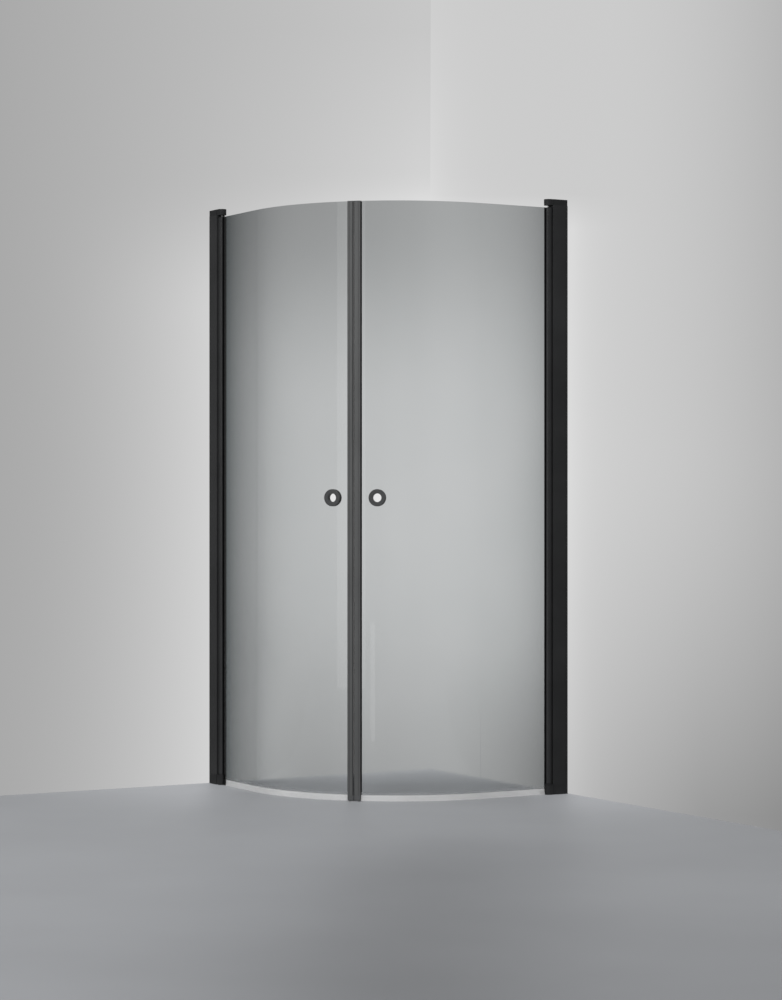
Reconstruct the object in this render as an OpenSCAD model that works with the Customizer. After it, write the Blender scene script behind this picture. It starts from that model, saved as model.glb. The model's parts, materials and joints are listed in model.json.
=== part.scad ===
// Quadrant corner shower enclosure with two curved pivot doors.
// The right jamb stands against the wall at y = side / 2 and the left one against x = -side / 2.
// The left half is the right half mirrored across the diagonal through the room corner.

/* [Overall] */
// Outside width along each wall
side = 900; // [860:10:1000]
// Height over the caps of the jambs
height = 2000; // [1850:10:2100]
// Outer radius of the curved glass
corner_r = 550; // [500:10:580]

/* [Glass] */
// Thickness of the glass
glass_t = 6; // [5:0.5:7]
// Height of the lower glass edge above the floor
glass_lift = 20.5; // [18:0.5:26]
// Gap between the doors and the arms above them
door_gap = 8; // [6:1:12]
// Height of the handles' centre above the floor
handle_h = 997; // [900:1:1100]

/* [Jamb] */
// Width of the adjusting profile across the glass line
jamb_w = 32; // [30:1:36]
// Depth of the channel that is screwed to the wall
channel_depth = 38; // [34:1:38]
// Part of the channel left showing beside the wall
channel_reveal = 9; // [6:1:14]
// Thickness of the channel's walls
channel_t = 2; // [1.5:0.1:2.5]
// Thickness of the adjusting profile's walls
adjuster_t = 1.8; // [1.5:0.1:2.2]
// Diameter of the holes for the wall screws
wall_hole_d = 6; // [5:0.5:7]
// Height of the lowest wall screw, and the distance of the highest one from the top
wall_hole_margin = 150; // [100:10:250]
// Distance between the two middle wall screws
wall_hole_mid = 600; // [400:10:800]
// Diameter of the lock screws' shanks
lock_d = 4; // [3:0.5:5]
// Distance between neighbouring lock screws
lock_pitch = 760; // [500:10:850]

/* [Hinge] */
// Distance of the hinge axis from the wall
hinge_depth = 67; // [66:0.5:75]
// Distance from the hinge axis back to the lips of the adjusting profile
lip_inset = 10; // [9:0.5:10.5]
// Outer diameter of the hinge tube
tube_d = 25; // [24:0.5:26]
// Thickness of the hinge tube's wall
tube_t = 1.8; // [1.5:0.1:2]
// Diameter of the pivot pins
pin_d = 6; // [5:0.5:6]
// Width of the arm and of the foot around the pins
arm_w = 30; // [28:0.5:30]
// Thickness of the top cap and its arm
cap_h = 20; // [16:1:26]
// Height of the foot block
foot_h = 35; // [28:1:45]
// Thickness of the washer that carries the door
washer_t = 1; // [0.8:0.1:2]
// Length of the bushes inside the tube
bush_len = 32; // [26:1:45]
// Diameter of the cap and foot screws
port_screw_d = 4; // [3:0.5:4]

/* [Closing edge] */
// Width of a closing profile from the middle of the seam
closing_w = 22; // [21:0.5:28]
// Depth of a closing profile across the glass
closing_d = 24; // [23:0.5:28]
// Gap between the two closing profiles
seam_gap = 3.6; // [3.2:0.1:4.5]
// Width of the flat between the outer face and the bevel
nose_flat = 1.4; // [1.2:0.1:1.8]
// Rounding of the closing profile's corners on the glass side
closing_round = 3; // [1:0.5:4]
// Height of the closing profile's foot above the floor
closing_lift = 3; // [2:0.5:6]
// Thickness of the magnet strip
magnet_t = 3; // [2.4:0.1:3]
// Gap between the magnet strips of the closed doors
magnet_gap = 0.4; // [0.3:0.05:0.8]
// Thickness of the closing profile's top cap
closing_cap_t = 3; // [2:0.5:5]
// Width of the rubber lips that show on the glass beside the closing profile
closing_lip = 2; // [1:0.5:2.5]

/* [Handle] */
// Outer diameter of the handle rings
ring_d = 56.5; // [48:0.5:64]
// Diameter of the finger hole
finger_d = 28.5; // [26:0.5:30]
// Projection of a ring from its pad
ring_h = 6.5; // [5.5:0.5:12]
// Distance of the handle's centre from the middle of the seam, along the glass
handle_offset = 76; // [65:1:120]

/* [Seal] */
// Thickness of the rubber between glass and metal
gasket_t = 1.2; // [1:0.1:1.4]
// Height of the bottom seal's legs on the glass
seal_leg = 9; // [6:0.5:14]
// Thickness of the bottom seal's walls
seal_t = 1.1; // [0.8:0.1:1.4]
// Gap between the seal's lip and the floor
lip_gap = 1; // [0.5:0.1:2]

/* [Hidden] */

$fn = 48;
arc_fn = 240;
slack = 0.1;            // fit of pieces that are pushed or screwed together
slide_gap = 0.2;        // play of the adjusting profile on the wall channel
pin_play = 0.05;        // radial play of the pivot pins in their bushes
run_gap = 0.3;          // gap between faces that turn past each other
seat_gap = 0.8;         // gap between the hinge tube and its seat
cut = 1;                // how far a cutting shape runs past what it cuts

// Plan of the glass line, for the right door
glass_x = side / 2 - jamb_w / 2;
glass_r = corner_r - glass_t / 2;
arc_c = glass_x - glass_r;
hinge_y = side / 2 - hinge_depth;
jamb_depth = hinge_depth - lip_inset;

// Heights
jamb_top = height - cap_h;
door_top = jamb_top - door_gap;
door_foot = foot_h + washer_t + run_gap;

// Jamb sections, where y runs from the wall at 0 towards the door at negative values
lip_round = 1.2;
channel_w = jamb_w - 2 * adjuster_t - 2 * slide_gap;
shoulder_gap = 0.5;     // line between the channel's shoulders and the adjusting profile
tile_gap = 1;           // room for sealant between the top cap and the wall
adjust_room = 3;
web_y = -channel_depth - adjust_room;
seat_r = tube_d / 2 + seat_gap;
seat_wall = 3.4;
chamber_back = seat_r + seat_wall - hinge_depth;
leg_len = 12;

// Rubber bulb let into the inner side of the seat
bulb_r = 1.1;
bulb_sink = 0.35;
bulb_turn = 33;
bulb_place = (seat_r + bulb_sink) * [-sin(bulb_turn), cos(bulb_turn)] - [0, hinge_depth];

// Screws in the port of the adjusting profile, and lock screws
port_r = port_screw_d / 2 + slack;
port_wall = 1.5;
port_bite = 0.2;
port_y = web_y + port_r + port_wall - port_bite;
screw_head_d = 2 * port_screw_d;
screw_head_h = 2.4;
screw_sink = 0.6;
screw_reach = 6;
socket_d = 2.5;
socket_h = 1.2;
lock_y = -(channel_reveal + channel_depth) / 2;
lock_travel = 10;
lock_reach = 1;
lock_head_d = 2 * lock_d;
lock_head_h = 2.2;
lock_socket_d = 2;

// Hinge tube section, seen from the axis: the glass leaves it away from the wall
channel_half = glass_t / 2 + gasket_t + slack / 2;
tube_web = 1.3;
pin_r = pin_d / 2;
pin_wall = 2.1;
pin_bevel = 0.8;
pin_hold = 14;
pin_reach = 24;
pin_space = 2;
slot_start = pin_r + pin_wall;
glass_start = slot_start + gasket_t + slack;
gasket_lip = 0.4;
arm_lap = 3;
foot_gap = 1.5;
notch_r = arm_w / 2 + foot_gap;
flange_t = 2;
washer_inset = 1.5;

// Closing profile section, where x is outward across the glass and y runs from the seam to the door.
// The bevel follows the path of the other door's edge.
seam_x = arc_c + glass_r * cos(45);
chord = [seam_x - glass_x, -seam_x - hinge_y];
chord_out = (chord[0] - chord[1]) * cos(45) / norm(chord);
chord_in = -(chord[0] + chord[1]) * cos(45) / norm(chord);
bevel = chord_out / chord_in;
closing_t = 1.8;
grip_depth = 9;
closing_slot = closing_w - grip_depth;
slot_mid = (closing_slot + closing_w) / 2;
slot_angle = slot_mid / glass_r * 180 / PI;
glass_grip = closing_slot + gasket_t + slack;
glass_angle = glass_grip / glass_r * 180 / PI;
nose_x = closing_d / 2 - nose_flat;
nose_round = 0.8;
magnet_depth = 4;
magnet_slot = magnet_t + slack;
magnet_wall = 1;
magnet_x = closing_d / 2 - magnet_wall - magnet_t / 2;
chamber_x = channel_half + closing_t;
chamber_w = closing_d / 2 - closing_t - chamber_x;
foot_lap = 0.5;
closing_foot_top = glass_lift - foot_lap;

// Bottom seal
seal_grip = glass_t / 2 + slack / 2;
outer_lip = 1.5;
inner_lip = 3.5;
inner_lip_gap = 3;
seal_in = glass_r - seal_grip - seal_t - inner_lip;
seal_angle = asin((closing_w + run_gap) / seal_in);

// Handle
handle_angle = handle_offset / glass_r * 180 / PI;
pad_t = 1;
pad_inset = 1.5;
spigot_wall = 3;
ring_web = 3;           // metal between the spigot's end and the inner ring's face
spigot_reach = pad_t + ring_h - ring_web - 2 * slack;
spigot_r = finger_d / 2 + spigot_wall;
sleeve_t = 1.2;
glass_hole_r = spigot_r + sleeve_t + 2 * slack;
ring_round = 2.2;
sleeve_inset = 0.5;

// Places
module jamb() { translate([glass_x, side / 2, 0]) children(); }
module hinge() { translate([glass_x, hinge_y, 0]) children(); }
module on_glass(angle) {
    translate([arc_c, -arc_c, 0]) rotate(angle - 45) translate([glass_r, 0, 0]) children();
}
module on_handle() { on_glass(handle_angle) translate([0, 0, handle_h]) rotate([0, 90, 0]) children(); }
module left() { mirror([1, 1, 0]) children(); }

// Rectangle between two opposite corners
module block2(low, high) { translate(low) square(high - low); }
module prism(low, high) { translate([0, 0, low]) linear_extrude(high - low) children(); }

// A section swept along the glass line, drawn with x across the glass and y up.
// The arc and the straight length both start from the plane where they meet.
module along_glass(start_angle, end_y) {
    straight = end_y + arc_c;
    translate([arc_c, -arc_c, 0]) {
        mirror([0, 1, 0]) rotate_extrude(angle = 45 - start_angle, $fn = arc_fn)
            translate([glass_r, 0]) children();
        translate([glass_r, straight, 0]) rotate([90, 0, 0]) linear_extrude(straight) children();
    }
}

// Removes a convex corner at the origin that points to +x +y
module corner_cut(r) {
    difference() {
        translate([-r, -r]) square(r + cut);
        translate([-r, -r]) circle(r);
    }
}

// Pan-head screw along +z with its head on the plane at 0, and a hexagon socket
module screw(shank_d, length, head_d, head_h, hex_d, hex_h) {
    translate([0, 0, -length]) cylinder(d = shank_d, h = length);
    difference() {
        cylinder(d = head_d, h = head_h);
        translate([0, 0, head_h - hex_h]) cylinder(d = hex_d, h = hex_h + cut, $fn = 6);
    }
}

// Fixed pieces
function wall_hole_heights() = [wall_hole_margin, (height - wall_hole_mid) / 2,
    (height + wall_hole_mid) / 2, height - wall_hole_margin];
function lock_heights() = [for (i = [-1:1]) height / 2 + i * lock_pitch];

module channel_section() {
    inside = channel_w / 2 - channel_t;
    difference() {
        union() {
            block2([-channel_w / 2, -channel_depth], [channel_w / 2, 0]);
            block2([-jamb_w / 2, shoulder_gap - channel_reveal], [jamb_w / 2, 0]);
        }
        block2([-inside, -channel_depth - cut], [inside, -channel_t]);
    }
}

module wall_channel() {
    color("#2b2b2d") jamb() difference() {
        prism(0, jamb_top) channel_section();
        for (z = wall_hole_heights())
            translate([0, cut, z]) rotate([90, 0, 0]) cylinder(d = wall_hole_d, h = channel_t + 2 * cut);
        for (z = lock_heights())
            translate([-channel_w / 2 - cut, lock_y, z]) rotate([0, 90, 0])
                cylinder(d = lock_d + slack, h = channel_t + 2 * cut);
    }
}

module seat_circle(r) { translate([0, -hinge_depth]) circle(r); }

module adjuster_section() {
    half = jamb_w / 2;
    inside = half - adjuster_t;
    difference() {
        block2([-half, -jamb_depth], [half, -channel_reveal]);
        block2([-inside, web_y], [inside, 0]);
        block2([-inside, chamber_back], [inside, web_y - adjuster_t]);
        seat_circle(seat_r);
        translate(bulb_place) circle(bulb_r + slack);
        translate([half, -jamb_depth]) rotate(-90) corner_cut(lip_round);
        translate([-half, -jamb_depth]) rotate(180) corner_cut(lip_round);
    }
    difference() {
        translate([0, port_y]) circle(port_r + port_wall);
        translate([0, port_y]) circle(port_r);
        block2([-port_r / 2, port_y], [port_r / 2, port_y + port_r + port_wall + cut]);
    }
}

module lock_slot() {
    wide = lock_d + 4 * slack;
    for (s = [-1, 1]) translate([0, s * lock_travel / 2, 0]) rotate([0, 90, 0])
        cylinder(d = wide, h = adjuster_t + 2 * cut);
    translate([0, -lock_travel / 2, -wide / 2]) cube([adjuster_t + 2 * cut, lock_travel, wide]);
}

module adjusting_profile() {
    color("#242426") jamb() difference() {
        prism(foot_h, jamb_top) adjuster_section();
        for (z = lock_heights()) translate([-jamb_w / 2 - cut, lock_y, z]) lock_slot();
    }
}

module lock_screws() {
    color("#3a3a3c") jamb() for (z = lock_heights())
        translate([-jamb_w / 2, lock_y, z]) rotate([0, -90, 0])
            screw(lock_d, adjuster_t + slide_gap + channel_t + lock_reach, lock_head_d, lock_head_h,
                lock_socket_d, socket_h);
}

module hinge_seal() {
    color("#1b1b1c") jamb() prism(door_foot, jamb_top - slack) translate(bulb_place) circle(bulb_r);
}

// Outline of the arm and of the foot around the pivot
module arm_outline(wall_side) {
    block2([-jamb_w / 2, foot_gap - jamb_depth], [jamb_w / 2, wall_side]);
    block2([-arm_w / 2, -hinge_depth], [arm_w / 2, arm_lap - jamb_depth]);
    seat_circle(arm_w / 2);
}

// Peg of the cap and of the foot inside the adjusting profile
module locating_leg(low, high) {
    inside = jamb_w / 2 - adjuster_t - 2 * slack;
    prism(low, high) block2([-inside, chamber_back + 2 * slack], [inside, web_y - adjuster_t - 2 * slack]);
}

module top_cap() {
    color("#222224") jamb() difference() {
        union() {
            prism(jamb_top, height) arm_outline(-tile_gap);
            locating_leg(jamb_top - leg_len, jamb_top);
        }
        translate([0, port_y, jamb_top - cut]) cylinder(d = port_screw_d + 2 * slack, h = cap_h + 2 * cut);
        translate([0, port_y, height - screw_head_h - screw_sink])
            cylinder(d = screw_head_d + 4 * slack, h = cap_h);
        translate([0, -hinge_depth, jamb_top - cut]) cylinder(d = pin_d + slack / 2, h = pin_hold + cut);
    }
}

module port_screw(length) {
    translate([0, port_y, 0]) screw(port_screw_d, length, screw_head_d, screw_head_h, socket_d, socket_h);
}

module top_cap_screw() {
    seat = cap_h - screw_head_h - screw_sink;
    color("#3a3a3c") jamb() translate([0, 0, jamb_top + seat]) port_screw(seat + leg_len + screw_reach);
}

module foot_block() {
    hollow = channel_w / 2 - channel_t - slide_gap;
    color("#202022") jamb() difference() {
        union() {
            prism(0, foot_h) arm_outline(-channel_reveal);
            locating_leg(foot_h, foot_h + leg_len);
        }
        for (s = [0, 1]) mirror([s, 0, 0]) prism(-cut, foot_h + cut)
            block2([hollow, -channel_depth - slide_gap], [channel_w / 2 + slide_gap, cut]);
        translate([0, port_y, -cut]) cylinder(d = port_screw_d + 2 * slack, h = foot_h + 2 * cut);
        translate([0, port_y, -cut])
            cylinder(d = screw_head_d + 4 * slack, h = screw_head_h + screw_sink + cut);
        translate([0, -hinge_depth, foot_h - pin_reach]) cylinder(d = pin_d + slack / 2, h = pin_reach + cut);
    }
}

module foot_screw() {
    seat = foot_h - screw_head_h - screw_sink;
    color("#3a3a3c") jamb() translate([0, 0, foot_h - seat]) mirror([0, 0, 1])
        port_screw(seat + leg_len + screw_reach);
}

// Pin that stands on the plane at 0, bevelled at its free end above
module pin(length) {
    rotate_extrude() polygon([[0, 0], [pin_r, 0], [pin_r, length - pin_bevel],
        [pin_r - pin_bevel, length], [0, length]]);
}

module top_pin() {
    color("#b8bbbd") hinge() translate([0, 0, jamb_top + pin_hold - slack]) mirror([0, 0, 1])
        pin(pin_hold - slack + door_gap + pin_reach);
}

module bottom_pin() {
    color("#b8bbbd") hinge() translate([0, 0, foot_h - pin_reach + slack])
        pin(pin_reach - slack + door_foot - foot_h + pin_reach);
}

module thrust_washer() {
    color("#2b2b2c") hinge() translate([0, 0, foot_h]) difference() {
        cylinder(r = tube_d / 2 - washer_inset, h = washer_t);
        translate([0, 0, -cut]) cylinder(r = pin_r + slack, h = washer_t + 2 * cut);
    }
}

// Door pieces
module glass_channel(margin, top) {
    block2([-channel_half - margin, -tube_d], [channel_half + margin, top]);
}

module tube_section() {
    difference() {
        union() {
            difference() {
                circle(tube_d / 2);
                circle(tube_d / 2 - tube_t);
            }
            intersection() {
                circle(tube_d / 2 - tube_t / 2);
                glass_channel(tube_web, tube_web - slot_start);
            }
        }
        glass_channel(0, -slot_start);
    }
}

module hinge_tube() {
    color("#242426") hinge() prism(door_foot + flange_t, door_top - flange_t) tube_section();
}

// Plug that fills the tube beside the glass channel and turns on a pin
module bush() {
    difference() {
        union() {
            prism(0, flange_t) difference() {
                circle(tube_d / 2);
                block2([-glass_t / 2 - slack, -tube_d], [glass_t / 2 + slack, slack - glass_start]);
            }
            prism(flange_t, bush_len) difference() {
                circle(tube_d / 2 - tube_t - slack);
                glass_channel(tube_web + slack, tube_web + slack - slot_start);
            }
        }
        translate([0, 0, -cut]) cylinder(r = pin_r + pin_play, h = pin_reach + pin_space + cut);
    }
}

module top_bush() { color("#2f2f31") hinge() translate([0, 0, door_top]) mirror([0, 0, 1]) bush(); }
module bottom_bush() { color("#2f2f31") hinge() translate([0, 0, door_foot]) bush(); }

module hinge_gasket() {
    half = channel_half - slack / 2;
    color("#1b1b1c") hinge() prism(door_foot + flange_t, door_top - flange_t) difference() {
        block2([-half, -tube_d / 2 - gasket_lip], [half, -slot_start - slack / 2]);
        block2([-glass_t / 2 - slack / 2, -tube_d], [glass_t / 2 + slack / 2, -slot_start - gasket_t]);
    }
}

module glass() {
    color([0.72, 0.76, 0.76, 0.5]) difference() {
        along_glass(glass_angle, hinge_y - glass_start)
            block2([-glass_t / 2, glass_lift], [glass_t / 2, door_top]);
        translate([glass_x - glass_t, hinge_y - notch_r, glass_lift - cut])
            cube([2 * glass_t, notch_r, door_foot - glass_lift + cut]);
        on_handle() cylinder(r = glass_hole_r, h = 2 * glass_t, center = true);
    }
}

// Full outline of a closing profile, with the slot for its magnet strip
function bevel_y(x) = seam_gap / 2 + bevel * (nose_x - x);

module closing_outline() {
    half = closing_d / 2;
    difference() {
        polygon([[half, seam_gap / 2], [half, closing_w], [-half, closing_w], [-half, bevel_y(-half)],
            [nose_x, seam_gap / 2]]);
        translate([half, closing_w]) corner_cut(closing_round);
        translate([-half, closing_w]) rotate(90) corner_cut(closing_round);
        translate([half, seam_gap / 2]) rotate(-90) corner_cut(nose_round);
        block2([magnet_x - magnet_slot / 2, 0], [magnet_x + magnet_slot / 2, seam_gap / 2 + magnet_depth]);
    }
}

// Cut for the glass, square to the glass at the middle of its grip
module grip_slot(half, start) {
    place = [glass_r * (cos(slot_angle) - 1), glass_r * sin(slot_angle)];
    translate(place) rotate(slot_angle) block2([-half, start - slot_mid], [half, closing_w]);
}

// Hollow on the outer side of the glass, which takes the pegs of the cap and of the foot
module chamber(shrink) {
    block2([chamber_x + shrink, seam_gap / 2 + magnet_depth + closing_t + shrink],
        [chamber_x + chamber_w - shrink, closing_w - closing_t - shrink]);
}

// Hollow on the inner side, along the bevel
module inner_chamber() {
    wall = closing_t * norm([1, bevel]);
    far_x = -chamber_x - chamber_w;
    top = closing_w - closing_t;
    polygon([[-chamber_x, bevel_y(-chamber_x) + wall], [-chamber_x, top], [far_x, top],
        [far_x, bevel_y(far_x) + wall]]);
}

module closing_profile() {
    color("#4a4b4d") on_glass(0) prism(closing_foot_top, door_top - closing_cap_t) difference() {
        closing_outline();
        grip_slot(channel_half, closing_slot);
        chamber(0);
        inner_chamber();
    }
}

module closing_gasket() {
    lip_foot = glass_lift + seal_leg + slack;
    color("#1b1b1c") on_glass(0) difference() {
        prism(closing_foot_top, door_top - closing_cap_t) difference() {
            grip_slot(channel_half - slack / 2, closing_slot + slack / 2);
            grip_slot(glass_t / 2 + slack / 2, closing_slot + gasket_t);
            block2([-closing_d, closing_w + closing_lip], [closing_d, 2 * closing_w]);
        }
        prism(closing_foot_top - cut, lip_foot)
            block2([-closing_d, closing_w - slack], [closing_d, closing_w + closing_lip + cut]);
    }
}

module closing_cap() {
    color("#3c3d3f") on_glass(0) {
        prism(door_top - closing_cap_t, door_top) difference() {
            closing_outline();
            grip_slot(glass_t / 2 + slack, closing_slot + gasket_t);
        }
        prism(door_top - closing_cap_t - leg_len, door_top - closing_cap_t) chamber(slack);
    }
}

module closing_foot() {
    color("#3c3d3f") on_glass(0) {
        prism(closing_lift, closing_foot_top) closing_outline();
        prism(closing_foot_top, closing_foot_top + leg_len) chamber(slack);
    }
}

// Magnet strip whose nose is bevelled like the profile, so that it clears the other one in a swing
module magnet_strip() {
    inner = magnet_x - magnet_t / 2;
    outer = magnet_x + magnet_t / 2;
    root = seam_gap / 2 + magnet_depth - slack;
    tip = magnet_gap / 2;
    color("#2a2a2b") on_glass(0) prism(closing_lift + slack, door_top - slack)
        polygon([[outer, tip], [outer, root], [inner, root], [inner, tip + bevel * magnet_t]]);
}

// Section of the bottom seal: two legs on the glass, a hollow body and two wiping lips
module seal_section() {
    outer = seal_grip + seal_t;
    body = glass_lift - slack;
    root = glass_lift / 2;
    inner_top = lip_gap + inner_lip_gap;
    difference() {
        block2([-outer, root], [outer, body + seal_leg]);
        block2([-seal_grip, body], [seal_grip, body + seal_leg + cut]);
        block2([-seal_grip, root + seal_t], [seal_grip, body - seal_t]);
    }
    polygon([[outer, root + seal_t], [outer + outer_lip, lip_gap], [outer + outer_lip - seal_t, lip_gap],
        [outer - seal_t, root]]);
    polygon([[-outer, root + seal_t], [-outer - inner_lip, inner_top],
        [-outer - inner_lip, inner_top - seal_t], [seal_t - outer, root]]);
}

module bottom_seal() {
    color([0.85, 0.87, 0.88, 0.7]) along_glass(seal_angle, hinge_y - notch_r - run_gap) seal_section();
}

// Everything nearer to the room corner than a distance from the middle of the glass
module inside_glass(distance) {
    translate([arc_c, -arc_c, handle_h - ring_d])
        cylinder(r = glass_r + distance, h = 2 * ring_d, $fn = arc_fn);
}

// Handle ring with its upper edges rounded, seated on its pad below the plane at 0
module ring_shape() {
    outer = ring_d / 2;
    inner = finger_d / 2;
    rotate_extrude() difference() {
        block2([inner, -pad_t], [outer, ring_h]);
        translate([outer, ring_h]) corner_cut(ring_round);
        translate([inner, ring_h]) rotate(90) corner_cut(ring_round);
    }
}

module handle_outer() {
    face = glass_t / 2 + pad_t;
    color("#3f4042") {
        difference() {
            on_handle() translate([0, 0, face]) ring_shape();
            inside_glass(face);
        }
        on_handle() difference() {
            translate([0, 0, -glass_t / 2 - spigot_reach])
                cylinder(r = spigot_r, h = spigot_reach + glass_t / 2 + face + spigot_wall);
            cylinder(r = finger_d / 2, h = 4 * glass_t, center = true);
        }
    }
}

module handle_inner() {
    face = glass_t / 2 + pad_t;
    color("#3f4042") intersection() {
        on_handle() difference() {
            mirror([0, 0, 1]) translate([0, 0, face]) ring_shape();
            translate([0, 0, -glass_t / 2 - spigot_reach - 2 * slack])
                cylinder(r = spigot_r + slack, h = 4 * glass_t);
        }
        inside_glass(-face);
    }
}

module pad_tube(outer_r, h) {
    difference() {
        cylinder(r = outer_r, h = h);
        translate([0, 0, -cut]) cylinder(r = spigot_r + slack, h = h + 2 * cut);
    }
}

module handle_pads() {
    near = glass_t / 2 + slack / 2;
    pad_r = ring_d / 2 - pad_inset;
    sleeve_h = glass_t - 2 * sleeve_inset;
    color("#1b1b1c") {
        difference() {
            intersection() {
                on_handle() pad_tube(pad_r, 2 * glass_t);
                inside_glass(glass_t / 2 + pad_t);
            }
            inside_glass(near);
        }
        difference() {
            intersection() {
                on_handle() mirror([0, 0, 1]) pad_tube(pad_r, 2 * glass_t);
                inside_glass(-near);
            }
            inside_glass(-glass_t / 2 - pad_t);
        }
        on_handle() translate([0, 0, -sleeve_h / 2]) pad_tube(spigot_r + slack + sleeve_t, sleeve_h);
    }
}

left() wall_channel();  // wall_channel_left
wall_channel();  // wall_channel_right
left() adjusting_profile();  // adjusting_profile_left
adjusting_profile();  // adjusting_profile_right
left() lock_screws();  // lock_screws_left
lock_screws();  // lock_screws_right
left() hinge_seal();  // hinge_seal_left
hinge_seal();  // hinge_seal_right
left() top_cap();  // top_cap_left
top_cap();  // top_cap_right
left() top_cap_screw();  // top_cap_screw_left
top_cap_screw();  // top_cap_screw_right
left() foot_block();  // foot_block_left
foot_block();  // foot_block_right
left() foot_screw();  // foot_screw_left
foot_screw();  // foot_screw_right
left() top_pin();  // top_pin_left
top_pin();  // top_pin_right
left() bottom_pin();  // bottom_pin_left
bottom_pin();  // bottom_pin_right
left() thrust_washer();  // thrust_washer_left
thrust_washer();  // thrust_washer_right
left() hinge_tube();  // hinge_tube_left
hinge_tube();  // hinge_tube_right
left() top_bush();  // top_bush_left
top_bush();  // top_bush_right
left() bottom_bush();  // bottom_bush_left
bottom_bush();  // bottom_bush_right
left() hinge_gasket();  // hinge_gasket_left
hinge_gasket();  // hinge_gasket_right
left() glass();  // glass_left
glass();  // glass_right
left() closing_gasket();  // closing_gasket_left
closing_gasket();  // closing_gasket_right
left() closing_profile();  // closing_profile_left
closing_profile();  // closing_profile_right
left() closing_cap();  // closing_cap_left
closing_cap();  // closing_cap_right
left() closing_foot();  // closing_foot_left
closing_foot();  // closing_foot_right
left() magnet_strip();  // magnet_strip_left
magnet_strip();  // magnet_strip_right
left() bottom_seal();  // bottom_seal_left
bottom_seal();  // bottom_seal_right
left() handle_outer();  // handle_outer_left
handle_outer();  // handle_outer_right
left() handle_inner();  // handle_inner_left
handle_inner();  // handle_inner_right
left() handle_pads();  // handle_pads_left
handle_pads();  // handle_pads_right
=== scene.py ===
"""Looks of the quadrant corner shower enclosure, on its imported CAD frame."""
import json
import math
import bpy
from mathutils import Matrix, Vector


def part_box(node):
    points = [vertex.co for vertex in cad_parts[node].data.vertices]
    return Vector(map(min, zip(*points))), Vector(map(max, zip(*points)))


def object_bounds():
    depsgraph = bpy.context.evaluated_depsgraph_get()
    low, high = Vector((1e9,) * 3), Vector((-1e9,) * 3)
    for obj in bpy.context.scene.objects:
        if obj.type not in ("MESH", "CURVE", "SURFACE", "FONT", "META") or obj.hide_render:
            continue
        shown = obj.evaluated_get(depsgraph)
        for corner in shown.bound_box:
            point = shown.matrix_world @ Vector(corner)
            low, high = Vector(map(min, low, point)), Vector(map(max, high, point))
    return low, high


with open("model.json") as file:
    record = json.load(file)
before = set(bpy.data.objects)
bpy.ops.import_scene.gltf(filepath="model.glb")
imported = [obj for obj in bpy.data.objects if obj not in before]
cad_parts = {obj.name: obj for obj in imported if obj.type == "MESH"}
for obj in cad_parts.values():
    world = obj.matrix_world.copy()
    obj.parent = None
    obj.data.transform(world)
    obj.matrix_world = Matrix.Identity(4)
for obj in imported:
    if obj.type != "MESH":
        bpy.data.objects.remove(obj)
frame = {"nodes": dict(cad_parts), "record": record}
cad_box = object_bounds()

# Places on the object, in metres
SIDES = ("left", "right")
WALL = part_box("wall_channel_right")[1][1]
TOP = cad_box[1][2]
PINS = [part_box(f"top_pin_{side}") for side in SIDES]
HINGES = [[(low[i] + high[i]) / 2 for i in (0, 1)] for low, high in PINS]
GLASS_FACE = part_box("glass_right")[1][0]
GLASS_THICK = 0.006
CORNER_RADIUS = 0.55
CURVE_CENTRE = (GLASS_FACE - CORNER_RADIUS, CORNER_RADIUS - GLASS_FACE)

# Camera of the photograph, its line of sight and the direction across it
CAMERA_PLACE = (7.6315, -4.4072, 0.9896)
CAMERA_TURN = math.radians(59.864)
CAMERA_LENS = 92.414
SIGHT = (-math.sin(CAMERA_TURN), math.cos(CAMERA_TURN), 0)
ACROSS = (math.cos(CAMERA_TURN), math.sin(CAMERA_TURN), 0)

# Values of a noise that count as its ends, for a gloss and for a mix of two tones
NOISE_SPAN = (0.3, 0.7)
TONE_SPAN = (0.35, 0.65)

# Stretches that draw a noise out upwards, level, or in rings round an upright pin
UPWARDS = (1, 1, 0.004)
LEVEL = (0.004, 0.004, 1)
IN_RINGS = (0.05, 0.05, 1)

# Colours of the finishes
BLACK = (0.0190, 0.0193, 0.0198)
CAP_BLACK = (0.0150, 0.0153, 0.0157)
SCREW_BLACK = (0.020, 0.020, 0.021)
RUBBER_BLACK = (0.0060, 0.0060, 0.0065)
MAGNET_BLACK = (0.0040, 0.0040, 0.0042)
WASHER_BLACK = (0.0100, 0.0100, 0.0105)
GREY = (0.078, 0.079, 0.079)
CAP_GREY = (0.060, 0.061, 0.062)
RING_GREY = (0.054, 0.055, 0.056)
STEEL_DARK = 0.53
STEEL_LIGHT = 0.67
SEAL_DARK = 0.69
SEAL_LIGHT = 0.73

# Glass: the tones of a pane, its body's absorption, its polish, and the roughness that the inner face adds
PANE_DARK = (0.955, 0.970, 0.968)
PANE_LIGHT = (0.985, 0.995, 0.993)
BODY_COLOUR = (0.600, 0.617, 0.627)
BODY_DENSITY = 105.0
POLISH = 0.02
FROSTING = (0.075, 0.115)

# Painted shade on the glass beside the jambs: its reach in metres, its share, and what a slanted view adds
JAMB_SHADE_COLOUR = (0.032, 0.052, 0.056)
JAMB_SHADE_REACH = 0.05
JAMB_SHADE_REACH_SLANTED = 0.42
JAMB_SHADE_DEPTH = 0.20
JAMB_SHADE_DEPTH_SLANTED = 1.6

# Painted dark band over the tube on glass and seal: black bedding and the tube's shaded side seen through
# them.
# Its reach in metres in a straight and a slanted view, how slanted these two are, its tone, and its edge's
# softness
BEDDING_SHADE = (0.017, 0.0405)
BEDDING_SHADE_SLANTS = (0.134, 0.5)
BEDDING_SHADE_TONE = 0.004
BEDDING_SHADE_EDGE = 0.001

# Clear legs of the seal: where they start and how softly, in metres, and how much of them shows
LEG_START = 0.0195
LEG_FADE = 0.002
LEG_FILM = 0.06

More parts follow.
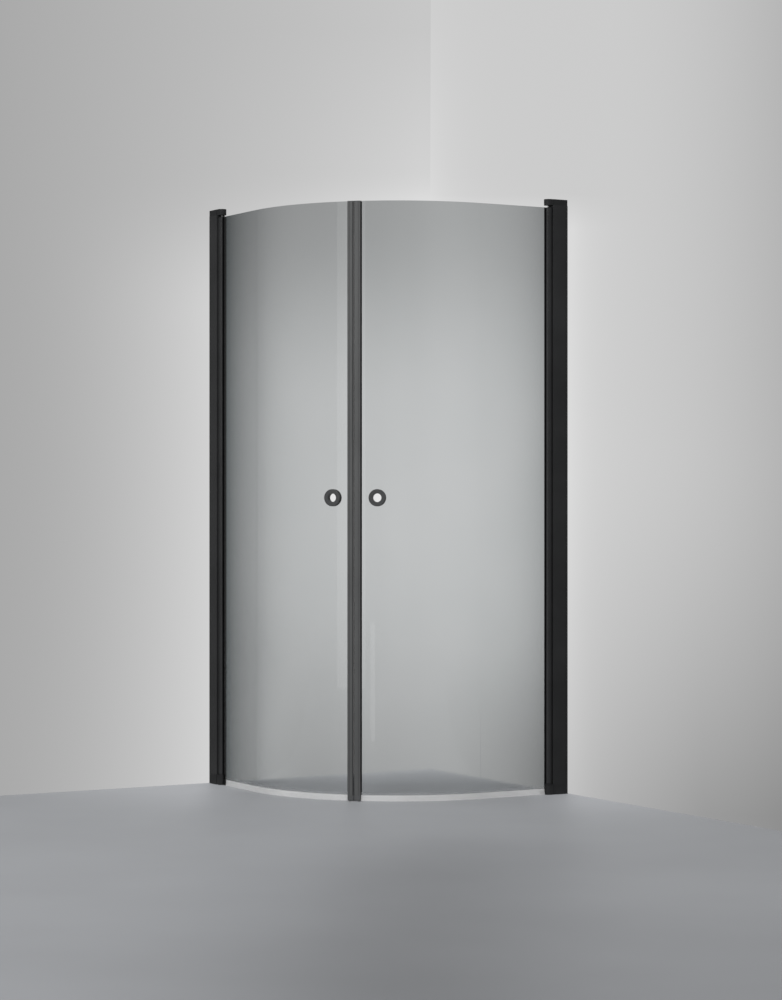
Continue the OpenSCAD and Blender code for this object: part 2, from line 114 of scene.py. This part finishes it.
# Closing profiles, with lengths in metres: the direction across the seam, the shade at it, a drawn line on
# each face, the share of the colour that is left in the shade, and the metal's specular level outside it
SEAM_ACROSS = (math.sqrt(0.5), math.sqrt(0.5), 0)
SEAM_PLACE = -0.0016
SEAM_SHADE = 0.0028
SEAM_DEPTH = 0.97
LINE_PLACE = 0.0155
LINE_WIDTH = 0.0013
LINE_DEPTH = 0.45
SHADED = 0.1
METAL_SPECULAR = 0.4

# Places on the backdrop, as sines of the angles beside and above the line of sight: the corner of the walls,
# a line just outside the right jamb, a line just under the top of the doors, and the span of height where the
# tones behind the doors give way to those above
CORNER_SIDE = 0.0152
JAMB_SIDE = 0.0705
TOP_HEIGHT = 0.105
GLOW_END = (0.07, 0.13)

# Left wall: painted light that rises towards the corner, in a steep curve behind the doors, in a weaker one
# above them, and in a straight line higher up
LEFT_WALL = 0.40
LEFT_RISE = 0.17
LEFT_SPAN = (-0.150, 0.0113)
LEFT_CURVES = (3.8, 0.4)
LEFT_STRAIGHT = (0.13, 0.18)
LEFT_BRIGHTEST = 0.79

# Right wall, in painted light and shade: its tone falls outwards and dims downwards. It glows beside the
# jamb, beside the corner above the doors, and behind the doors
RIGHT_WALL = 0.60
RIGHT_FALL = 0.14
RIGHT_START = 0.081
RIGHT_WIDTH = 0.07
RIGHT_POWER = 1.8
RIGHT_LIMIT = 1.5
BESIDE_GLOW = 0.10
BESIDE_WIDTH = 0.0086
BESIDE_SPAN = (0.105, 0.118)
OVER_GLOW = (0.09, 0.02)
OVER_WIDTH = 0.012
OVER_SPAN = (0.12, 0.187)
INNER_GLOW = 0.15
DIM = (0.27, 0.41)
DIM_SPAN = (0.0736, 0.12)
DOWN_SPAN = (-0.1208, 0.0195)
DOWN_POWER = 1.6

# The same walls through the frosted glass, in painted light and shade: a lighter pool and band, a step at the
# corner, and two low sides
GLASS_BASE = 0.375
POOL = 0.315
POOL_SIDE = 0.01
POOL_WIDTH = 0.15
POOL_HEIGHT = 0.008
POOL_REACH = (0.094, 0.077)
POOL_TURN = (-0.01, 0.03)
POOL_POWERS = (4, 3.4)
BAND = 0.095
BAND_SIDE = 0.025
BAND_WIDTH = 0.035
BAND_THINNED = 0.5
STEP = 0.035
STEP_EDGE = 0.001
STEP_SHARES = (0.2, 1)
STEP_SPAN = (0.0, 0.11)
LOW_LEFT = 0.19
LOW_LEFT_SPAN = (-0.059, -0.043)
LOW_RIGHT = 0.08
LOW_RIGHT_SPAN = (0.02, 0.054)
LOW_SPAN = (-0.0935, -0.058)

# What glass and metal mirror: the tone behind the object, and the share of it beside and in front
MIRRORED = (0.448, 0.450, 0.452)
FRONT_SHARE = 0.16
FRONT_SPAN = (0.5, 0.95)

# Even light of the studio
LIGHT_COLOUR = (0.98, 0.99, 1.00)
LIGHT_LEVEL = 0.45

# Floor, with places in metres: its colour and its end, and its painted light and shade: light near and far, a
# lift of light behind the object, a soft shadow in front of it, and a glow beside the hinges
FLOOR = (0.225, 0.230, 0.240)
FLOOR_SWING = 0.03
FLOOR_REACH = 9.0
FLOOR_FADE = 0.012
FLOOR_LIGHT = (1.33, 0.84)
FLOOR_LIGHT_SPAN = (0.4, 3.5)
REAR_LIGHT = 1.0
REAR_SPAN = (0.1, 0.6)
FLOOR_SHADOW = 0.28
FLOOR_SHADOW_SPAN = (-2.2, -0.5)
FLOOR_SHADOW_WIDTH = 0.34
FLOOR_SHADOW_PLACES = (0.05, 0.20)
FLOOR_SHADOW_TURN = (-3.2, -1.2)
FLOOR_GLOW = 0.5
FLOOR_GLOW_REACH = 0.55
FLOOR_GLOW_SPAN = (0.45, 0.65)


# Node helpers
def feed(tree, value, socket):
    """Sets a socket to a number, or links it to another one."""
    if isinstance(value, (int, float, tuple)):
        socket.default_value = value
    else:
        tree.links.new(value, socket)


def add(tree, kind, **values):
    node = tree.nodes.new("ShaderNode" + kind)
    for key, value in values.items():
        setattr(node, key, value)
    return node


def calc(tree, operation, *values):
    node = add(tree, "Math", operation=operation)
    for value, socket in zip(values, node.inputs):
        feed(tree, value, socket)
    return node.outputs[0]


def minus(tree, value, other):
    return calc(tree, "SUBTRACT", value, other)


def total(tree, value, *others):
    for other in others:
        value = calc(tree, "ADD", value, other)
    return value


def product(tree, value, *others):
    for other in others:
        value = calc(tree, "MULTIPLY", value, other)
    return value


def dot(tree, vector, other):
    node = add(tree, "VectorMath", operation="DOT_PRODUCT")
    feed(tree, vector, node.inputs[0])
    feed(tree, other, node.inputs[1])
    return node.outputs["Value"]


def parts(tree, vector):
    node = add(tree, "SeparateXYZ")
    feed(tree, vector, node.inputs[0])
    return node.outputs


def distance(tree, x, y):
    return calc(tree, "SQRT", total(tree, product(tree, x, x), product(tree, y, y)))


def spread(tree, value, ends, span, soft=False):
    """Runs from one end to the other as a value runs over a span, and holds the ends outside it."""
    node = add(tree, "MapRange", interpolation_type="SMOOTHSTEP" if soft else "LINEAR")
    for name, number in zip(("From Min", "From Max", "To Min", "To Max"), (*span, *ends)):
        node.inputs[name].default_value = number
    feed(tree, value, node.inputs["Value"])
    return node.outputs["Result"]


def swell(tree, value, middle, width, power=2):
    """A smooth hill of height 1 around a value."""
    away = calc(tree, "DIVIDE", calc(tree, "ABSOLUTE", minus(tree, value, middle)), width)
    return calc(tree, "EXPONENT", product(tree, calc(tree, "POWER", away, power), -1))


def fading(tree, value, start, width):
    """1 up to a value, and dying away after it."""
    past = calc(tree, "MAXIMUM", minus(tree, value, start), 0)
    return calc(tree, "EXPONENT", calc(tree, "DIVIDE", past, -width))


def pick(tree, share, first, second):
    """A value between two, by a share."""
    return calc(tree, "MULTIPLY_ADD", minus(tree, second, first), share, first)


def blend(tree, share, first, second, kind="MIX"):
    """Mixes two colours, which are inputs 6 and 7 of the Mix node, into its output 2."""
    node = add(tree, "Mix", data_type="RGBA", blend_type=kind)
    feed(tree, share, node.inputs["Factor"])
    feed(tree, first, node.inputs[6])
    feed(tree, second, node.inputs[7])
    return node.outputs[2]


def grey(value):
    return (value, value, value, 1)


def tint(colour, factor=1.0):
    return (*(channel * factor for channel in colour), 1)


def two_tones(tree, pattern, dark, light):
    return blend(tree, spread(tree, pattern, (0, 1), TONE_SPAN), dark, light)


def swing(tree, pattern, colour, share):
    """A colour that swings by a share of itself over a pattern."""
    return two_tones(tree, pattern, tint(colour, 1 - share), tint(colour, 1 + share))


def place(tree, stretch=(1, 1, 1)):
    """Object coordinates in metres, stretched along the axes."""
    mapping = add(tree, "Mapping")
    mapping.inputs["Scale"].default_value = stretch
    feed(tree, add(tree, "TexCoord").outputs["Object"], mapping.inputs["Vector"])
    return mapping.outputs["Vector"]


def noise(tree, vector, scale, detail=3.0, rough=0.55):
    """Noise with so many waves in a metre."""
    node = add(tree, "TexNoise")
    for name, number in (("Scale", scale), ("Detail", detail), ("Roughness", rough)):
        node.inputs[name].default_value = number
    feed(tree, vector, node.inputs["Vector"])
    return node.outputs["Fac"]


def bump(tree, shader, height, depth, strength=1.0):
    node = add(tree, "Bump")
    node.inputs["Strength"].default_value = strength
    node.inputs["Distance"].default_value = depth
    feed(tree, height, node.inputs["Height"])
    feed(tree, node.outputs["Normal"], shader.inputs["Normal"])


def colour_by(tree, shader, colour):
    feed(tree, colour, shader.inputs["Base Color"])


def gloss_by(tree, shader, pattern, low, high):
    """Roughness between two values, over a noise."""
    feed(tree, spread(tree, pattern, (low, high), NOISE_SPAN), shader.inputs["Roughness"])


def new_material(name, **values):
    """A material with one Principled shader, and its constant values."""
    material = bpy.data.materials.new(name)
    material.use_nodes = True
    tree = material.node_tree
    tree.nodes.clear()
    out = add(tree, "OutputMaterial")
    shader = add(tree, "BsdfPrincipled")
    feed(tree, shader.outputs[0], out.inputs["Surface"])
    for key, value in values.items():
        shader.inputs[key.replace("_", " ")].default_value = value
    return material, tree, shader


# Finishes
def powder_coat(name, colour, gloss, level):
    """Satin powder coat: a fine orange peel, with slow changes of tone and gloss."""
    material, tree, shader = new_material(name, Specular_IOR_Level=level)
    vector = place(tree)
    peel = noise(tree, vector, scale=900.0, detail=2.0)
    slow = noise(tree, vector, scale=6.0)
    colour_by(tree, shader, swing(tree, slow, colour, share=0.12))
    gloss_by(tree, shader, peel, gloss - 0.05, gloss + 0.07)
    bump(tree, shader, peel, depth=0.00004)
    return material


def moulded(name, colour, gloss, level):
    """Moulded plastic with an eroded fine texture."""
    material, tree, shader = new_material(name, Specular_IOR_Level=level)
    vector = place(tree)
    grain = noise(tree, vector, scale=1500.0, rough=0.7)
    slow = noise(tree, vector, scale=25.0)
    colour_by(tree, shader, swing(tree, slow, colour, share=0.1))
    gloss_by(tree, shader, grain, gloss - 0.06, gloss + 0.06)
    bump(tree, shader, grain, depth=0.00003)
    return material


def drawn_lines(tree, shader, gloss):
    """Fine lines along an extrusion, in gloss and relief."""
    lines = noise(tree, place(tree, UPWARDS), scale=700.0, detail=2.0)
    gloss_by(tree, shader, lines, gloss - 0.05, gloss + 0.06)
    bump(tree, shader, lines, depth=0.00002)


def satin_metal(name, colour, gloss):
    """Dark coated metal with fine lines."""
    material, tree, shader = new_material(name, Metallic=0.25, Specular_IOR_Level=METAL_SPECULAR)
    slow = noise(tree, place(tree), scale=8.0)
    colour_by(tree, shader, swing(tree, slow, colour, share=0.08))
    drawn_lines(tree, shader, gloss)
    return material


def closing_metal(name, colour, gloss):
    """Satin metal of the closing profiles: one drawn line on each face, and a shaded edge at the seam."""
    material, tree, shader = new_material(name, Metallic=0.25, Specular_IOR_Level=METAL_SPECULAR)
    vector = place(tree)
    slow = noise(tree, vector, scale=8.0)
    across = dot(tree, vector, SEAM_ACROSS)
    seam = product(tree, swell(tree, across, SEAM_PLACE, SEAM_SHADE), SEAM_DEPTH)
    from_middle = calc(tree, "ABSOLUTE", across)
    line = product(tree, swell(tree, from_middle, LINE_PLACE, LINE_WIDTH), LINE_DEPTH)
    shade = calc(tree, "MAXIMUM", seam, line)
    plain = swing(tree, slow, colour, share=0.06)
    colour_by(tree, shader, blend(tree, shade, plain, tint(colour, SHADED)))
    specular = calc(tree, "MULTIPLY_ADD", seam, -METAL_SPECULAR, METAL_SPECULAR)
    feed(tree, specular, shader.inputs["Specular IOR Level"])
    drawn_lines(tree, shader, gloss)
    return material


def dark_rubber(name, colour):
    """Matt rubber with a fine grain."""
    material, tree, shader = new_material(name, Specular_IOR_Level=0.2)
    vector = place(tree)
    grain = noise(tree, vector, scale=1200.0)
    colour_by(tree, shader, swing(tree, grain, colour, share=0.2))
    gloss_by(tree, shader, noise(tree, vector, scale=30.0), 0.6, 0.8)
    bump(tree, shader, grain, depth=0.00003)
    return material


def ground_steel(name):
    """Steel with fine grinding rings."""
    material, tree, shader = new_material(name, Metallic=1.0)
    rings = noise(tree, place(tree, IN_RINGS), scale=2500.0, detail=2.0)
    colour_by(tree, shader, two_tones(tree, rings, grey(STEEL_DARK), grey(STEEL_LIGHT)))
    gloss_by(tree, shader, rings, 0.2, 0.34)
    bump(tree, shader, rings, depth=0.00001)
    return material


def hinge_distance(tree, x, y):
    """Distance in plan from the nearer hinge."""
    from_each = [distance(tree, minus(tree, x, hinge_x), minus(tree, y, hinge_y))
                 for hinge_x, hinge_y in HINGES]
    return calc(tree, "MINIMUM", *from_each)


def over_bedding_shade(tree, x, y, facing):
    """1 where the painted dark band for the black bedding and the tube's shaded side shows, and 0 past it."""
    past = minus(tree, hinge_distance(tree, x, y), spread(tree, facing, BEDDING_SHADE, BEDDING_SHADE_SLANTS))
    return spread(tree, past, (1, 0), (-BEDDING_SHADE_EDGE, BEDDING_SHADE_EDGE))


def jamb_shade_share(tree, x, y, facing):
    """How much of the painted shade beside the jambs shows: it dies away from the hinge, later in a slanted
    view.
    """
    reach = calc(tree, "MULTIPLY_ADD", facing, JAMB_SHADE_REACH_SLANTED, JAMB_SHADE_REACH)
    depth = calc(tree, "MULTIPLY_ADD", facing, JAMB_SHADE_DEPTH_SLANTED, JAMB_SHADE_DEPTH)
    far = calc(tree, "DIVIDE", product(tree, hinge_distance(tree, x, y), -1), reach)
    return calc(tree, "MINIMUM", product(tree, depth, calc(tree, "EXPONENT", far)), 1)


def inner_face(tree, x, y):
    """1 on the inner face of the glass and 0 on the outer one, by the distance from its curve's centre."""
    inward_x = calc(tree, "MAXIMUM", minus(tree, x, CURVE_CENTRE[0]), 0)
    inward_y = calc(tree, "MINIMUM", minus(tree, y, CURVE_CENTRE[1]), 0)
    middle = CORNER_RADIUS - GLASS_THICK / 2
    margin = GLASS_THICK / 4
    return spread(tree, distance(tree, inward_x, inward_y), (1, 0), (middle - margin, middle + margin))


def absorb(tree, colour, density):
    """The tone of a clear body, which deepens with the light's way through it."""
    body = add(tree, "VolumeAbsorption")
    body.inputs["Color"].default_value = tint(colour)
    body.inputs["Density"].default_value = density
    feed(tree, body.outputs[0], tree.nodes["Material Output"].inputs["Volume"])


def frosted_glass(name):
    """Grey glass, polished outside and lightly frosted inside. Painted shade deepens its tone towards the
    jambs.
    """
    material, tree, shader = new_material(name, Transmission_Weight=1.0, IOR=1.5)
    vector = place(tree)
    x, y, _ = parts(tree, vector)
    facing = add(tree, "LayerWeight").outputs["Facing"]
    inner = inner_face(tree, x, y)
    grain = noise(tree, vector, scale=700.0, detail=2.0)
    frosting = spread(tree, grain, FROSTING, NOISE_SPAN)
    feed(tree, calc(tree, "MULTIPLY_ADD", inner, frosting, POLISH), shader.inputs["Roughness"])
    bump(tree, shader, product(tree, grain, inner), depth=0.00001, strength=0.4)
    cloud = noise(tree, vector, scale=2.5, detail=2.0)
    pane = two_tones(tree, cloud, tint(PANE_DARK), tint(PANE_LIGHT))
    # Painted shade on the glass beside the jambs
    jamb_shaded = blend(tree, jamb_shade_share(tree, x, y, facing), pane, tint(JAMB_SHADE_COLOUR))
    # Painted dark band for the bedding and the tube's shaded side, seen through the glass
    colour_by(tree, shader, blend(tree, over_bedding_shade(tree, x, y, facing), jamb_shaded, grey(BEDDING_SHADE_TONE)))
    absorb(tree, BODY_COLOUR, BODY_DENSITY)
    return material


def clear_seal(name):
    """Clear flexible extrusion, slightly milky, with faint draw lines. Its legs are a film on the glass."""
    material, tree, shader = new_material(name, Transmission_Weight=0.7, IOR=1.3)
    vector = place(tree)
    x, y, height = parts(tree, vector)
    facing = add(tree, "LayerWeight").outputs["Facing"]
    cloud = noise(tree, vector, scale=5.0, detail=1.0)
    tone = two_tones(tree, cloud, grey(SEAL_DARK), grey(SEAL_LIGHT))
    # Painted dark band for the bedding and the tube's shaded side, seen through the seal
    colour_by(tree, shader, blend(tree, over_bedding_shade(tree, x, y, facing), tone, grey(BEDDING_SHADE_TONE)))
    shown = spread(tree, height, (1, LEG_FILM), (LEG_START, LEG_START + LEG_FADE))
    feed(tree, shown, shader.inputs["Alpha"])
    lines = noise(tree, place(tree, LEVEL), scale=160.0, detail=1.0)
    gloss_by(tree, shader, lines, 0.30, 0.36)
    bump(tree, shader, lines, depth=0.00001, strength=0.2)
    return material


def finishes():
    """The material of each slot in the record."""
    return {
        "black_profile": powder_coat("black_profile", BLACK, gloss=0.28, level=0.45),
        "black_cap": moulded("black_cap", CAP_BLACK, gloss=0.5, level=0.35),
        "black_screw": powder_coat("black_screw", SCREW_BLACK, gloss=0.35, level=0.5),
        "rubber": dark_rubber("rubber", RUBBER_BLACK),
        "pin_steel": ground_steel("pin_steel"),
        "washer": moulded("washer", WASHER_BLACK, gloss=0.55, level=0.3),
        "grey_profile": closing_metal("grey_profile", GREY, gloss=0.38),
        "grey_cap": moulded("grey_cap", CAP_GREY, gloss=0.48, level=0.4),
        "magnet": dark_rubber("magnet", MAGNET_BLACK),
        "clear_seal": clear_seal("clear_seal"),
        "ring": satin_metal("ring", RING_GREY, gloss=0.36),
        "frosted_glass": frosted_glass("frosted_glass"),
    }


def dress_nodes():
    made = finishes()
    for part in frame["record"]["subparts"]:
        node = frame["nodes"][part["node"]]
        node.data.materials.clear()
        node.data.materials.append(made[part["material_slot"]])


def let_light_through():
    """The lamps shine through the glass and the clear seals."""
    for side in SIDES:
        for name in (f"glass_{side}", f"bottom_seal_{side}"):
            frame["nodes"][name].visible_shadow = False


# Floor
def floor_end(tree, x, y):
    """1 on the floor, and 0 behind the planes of the two walls and far away."""
    behind = calc(tree, "MAXIMUM", minus(tree, -WALL, x), minus(tree, y, WALL))
    near = spread(tree, behind, (1, 0), (-FLOOR_FADE / 4, FLOOR_FADE), soft=True)
    close = spread(tree, distance(tree, x, y), (1, 0), (FLOOR_REACH / 2, FLOOR_REACH), soft=True)
    return product(tree, near, close)


def floor_light(tree, position, x, y):
    """Painted light and shade round the object, as a factor on the floor's tone."""
    ahead = dot(tree, position, SIGHT)
    across = dot(tree, position, ACROSS)
    lit = total(tree, spread(tree, distance(tree, x, y), FLOOR_LIGHT, FLOOR_LIGHT_SPAN),
                spread(tree, ahead, (0, REAR_LIGHT), REAR_SPAN))
    band = swell(tree, across, spread(tree, ahead, FLOOR_SHADOW_PLACES, FLOOR_SHADOW_TURN), FLOOR_SHADOW_WIDTH)
    painted_shadow = product(tree, band, spread(tree, ahead, (FLOOR_SHADOW, 0), FLOOR_SHADOW_SPAN, soft=True))
    outside = spread(tree, calc(tree, "ABSOLUTE", across), (0, FLOOR_GLOW), FLOOR_GLOW_SPAN)
    glow = product(tree, swell(tree, hinge_distance(tree, x, y), 0, FLOOR_GLOW_REACH), outside)
    return product(tree, lit, total(tree, minus(tree, glow, painted_shadow), 1))


def floor_material():
    """Satin grey floor with painted light and shade, that fades out at its end."""
    material, tree, shader = new_material("studio_floor", Roughness=0.5, Specular_IOR_Level=0.2)
    position = add(tree, "NewGeometry").outputs["Position"]
    x, y, _ = parts(tree, position)
    tone = swing(tree, noise(tree, position, scale=1.2), FLOOR, FLOOR_SWING)
    colour_by(tree, shader, blend(tree, 1.0, tone, floor_light(tree, position, x, y), "MULTIPLY"))
    mix = add(tree, "MixShader")
    feed(tree, floor_end(tree, x, y), mix.inputs["Fac"])
    feed(tree, add(tree, "BsdfTransparent").outputs[0], mix.inputs[1])
    feed(tree, shader.outputs[0], mix.inputs[2])
    feed(tree, mix.outputs[0], tree.nodes["Material Output"].inputs["Surface"])
    return material


def floor():
    bpy.ops.mesh.primitive_circle_add(vertices=96, radius=FLOOR_REACH, fill_type="NGON")
    obj = bpy.context.object
    obj.name = "studio_floor"
    obj.data.materials.append(floor_material())


# Backdrop. Its tones follow a ray's direction: how far beside the line of sight, and how far above it
def left_wall(tree, side, height):
    """Tone of the wall left of the corner, with painted light that rises towards the object."""
    share = spread(tree, side, (0, 1), LEFT_SPAN)
    low_curve = spread(tree, height, LEFT_CURVES, GLOW_END, soft=True)
    bend = minus(tree, low_curve, spread(tree, height, (0, LEFT_CURVES[1]), LEFT_STRAIGHT))
    curve = calc(tree, "MULTIPLY_ADD", bend, share, 1)
    rise = product(tree, share, LEFT_RISE, curve)
    return calc(tree, "MINIMUM", total(tree, rise, LEFT_WALL), LEFT_BRIGHTEST)


def right_glow(tree, side, height):
    """Glow of the right wall beside the jamb, beside the corner above the doors, and behind the doors."""
    beside = product(tree, fading(tree, side, JAMB_SIDE, BESIDE_WIDTH),
                     spread(tree, height, (BESIDE_GLOW, 0), BESIDE_SPAN))
    over = product(tree, fading(tree, side, CORNER_SIDE, OVER_WIDTH),
                   spread(tree, height, OVER_GLOW, OVER_SPAN),
                   calc(tree, "GREATER_THAN", height, TOP_HEIGHT))
    inner = product(tree, spread(tree, side, (INNER_GLOW, 0), (CORNER_SIDE, JAMB_SIDE)),
                    spread(tree, height, (1, 0), GLOW_END, soft=True))
    return total(tree, beside, over, inner)


def right_wall(tree, side, height):
    """Tone of the wall right of the corner, in painted light and shade: it falls outwards, and dims
    downwards.
    """
    out = calc(tree, "MAXIMUM", calc(tree, "DIVIDE", minus(tree, side, RIGHT_START), RIGHT_WIDTH), 0)
    fall = calc(tree, "MINIMUM", calc(tree, "POWER", out, RIGHT_POWER), RIGHT_LIMIT)
    level = minus(tree, RIGHT_WALL, product(tree, fall, RIGHT_FALL))
    down = calc(tree, "POWER", spread(tree, height, (1, 0), DOWN_SPAN), DOWN_POWER)
    dim = minus(tree, 1, product(tree, down, spread(tree, side, DIM, DIM_SPAN)))
    return product(tree, total(tree, level, right_glow(tree, side, height)), dim)


def walls_in_view(tree, side, height):
    right = calc(tree, "GREATER_THAN", side, CORNER_SIDE)
    return pick(tree, right, left_wall(tree, side, height), right_wall(tree, side, height))


def walls_through_glass(tree, side, height):
    """Softer and darker, in painted light and shade: a light pool and band, a corner step, and the two low
    sides.
    """
    reach = spread(tree, height, POOL_REACH, POOL_TURN)
    pool = product(tree, swell(tree, side, POOL_SIDE, POOL_WIDTH, POOL_POWERS[0]),
                   swell(tree, height, POOL_HEIGHT, reach, POOL_POWERS[1]))
    thinned = calc(tree, "MULTIPLY_ADD", pool, -BAND_THINNED, 1)
    band = product(tree, swell(tree, side, BAND_SIDE, BAND_WIDTH), thinned, BAND)
    edge = spread(tree, side, (0, STEP), (CORNER_SIDE - STEP_EDGE, CORNER_SIDE + STEP_EDGE))
    step = product(tree, edge, spread(tree, height, STEP_SHARES, STEP_SPAN))
    lifted = spread(tree, side, (LOW_LEFT, 0), LOW_LEFT_SPAN)
    dimmed = spread(tree, side, (0, LOW_RIGHT), LOW_RIGHT_SPAN)
    low = product(tree, minus(tree, lifted, dimmed), spread(tree, height, (1, 0), LOW_SPAN))
    return total(tree, product(tree, pool, POOL), band, step, low, GLASS_BASE)


def backdrop():
    """What the camera, glass and metal see of the studio, and the even light that it gives."""
    world = bpy.data.worlds.new("studio")
    bpy.context.scene.world = world
    world.use_nodes = True
    tree = world.node_tree
    tree.nodes.clear()
    path = add(tree, "LightPath").outputs
    camera_ray, glossy, through = (path[f"Is {kind} Ray"] for kind in ("Camera", "Glossy", "Transmission"))
    direction = add(tree, "TexCoord").outputs["Generated"]
    side = dot(tree, direction, ACROSS)
    height = parts(tree, direction)[2]
    forward = dot(tree, direction, SIGHT)
    ahead = calc(tree, "GREATER_THAN", forward, 0)
    in_view = pick(tree, ahead, LEFT_WALL, walls_in_view(tree, side, height))
    seen = pick(tree, through, in_view, walls_through_glass(tree, side, height))
    front = spread(tree, forward, (FRONT_SHARE, 1), FRONT_SPAN, soft=True)
    mirrored = blend(tree, 1.0, tint(MIRRORED), front, "MULTIPLY")
    reflected = calc(tree, "MAXIMUM", minus(tree, glossy, through), 0)
    shown = add(tree, "Background")
    feed(tree, blend(tree, reflected, seen, mirrored), shown.inputs["Color"])
    light = add(tree, "Background")
    light.inputs["Color"].default_value = tint(LIGHT_COLOUR)
    light.inputs["Strength"].default_value = LIGHT_LEVEL
    visible = calc(tree, "MAXIMUM", calc(tree, "MAXIMUM", camera_ray, through), glossy)
    mix = add(tree, "MixShader")
    feed(tree, visible, mix.inputs["Fac"])
    feed(tree, light.outputs[0], mix.inputs[1])
    feed(tree, shown.outputs[0], mix.inputs[2])
    feed(tree, mix.outputs[0], add(tree, "OutputWorld").inputs["Surface"])


# Lamps and camera
def softbox(name, spot, aim, size, power, mirrored=False):
    """Area lamp at a spot, turned to its aim. A mirrored one only shows in glass and metal."""
    data = bpy.data.lights.new(name, "AREA")
    data.shape = "RECTANGLE"
    data.size, data.size_y = size
    data.energy = power
    lamp = bpy.data.objects.new(name, data)
    bpy.context.collection.objects.link(lamp)
    lamp.location = spot
    x, y, z = (aim[i] - spot[i] for i in range(3))
    lamp.rotation_euler = (math.atan2(math.hypot(x, y), -z), 0, math.atan2(y, x) - math.pi / 2)
    lamp.visible_camera = False
    lamp.visible_transmission = False
    lamp.visible_glossy = mirrored
    lamp.visible_diffuse = not mirrored


def lights():
    """Four softboxes that light the object, and two reflectors that it mirrors."""
    middle = (0.1, -0.1, TOP / 2)
    seam_high = (0.28, -0.28, 1.4)
    seam_low = (0.28, -0.28, 0.25)
    softbox("front_box", (3.6, -4.4, 2.4), middle, size=(2.2, 2.6), power=170)
    softbox("right_box", (5.2, 0.6, 1.9), middle, size=(1.4, 2.8), power=55)
    softbox("left_box", (-1.2, -5.0, 1.9), middle, size=(1.4, 2.8), power=70)
    softbox("top_box", (1.2, -1.2, 4.2), (0.3, -0.3, 0), size=(3.0, 3.0), power=80)
    softbox("tall_reflector", (2.55, -4.73, 1.4), seam_high, size=(2.0, 2.8), power=13, mirrored=True)
    softbox("low_reflector", (1.67, -1.71, 0.25), seam_low, size=(0.13, 0.48), power=0.17, mirrored=True)


def camera():
    data = bpy.data.cameras.new("camera")
    data.lens = CAMERA_LENS
    eye = bpy.data.objects.new("camera", data)
    bpy.context.collection.objects.link(eye)
    eye.location = CAMERA_PLACE
    eye.rotation_euler = (math.pi / 2, 0, CAMERA_TURN)
    bpy.context.scene.camera = eye


camera()
dress_nodes()
let_light_through()
floor()
backdrop()
lights()
bpy.context.scene.view_settings.view_transform = "Standard"
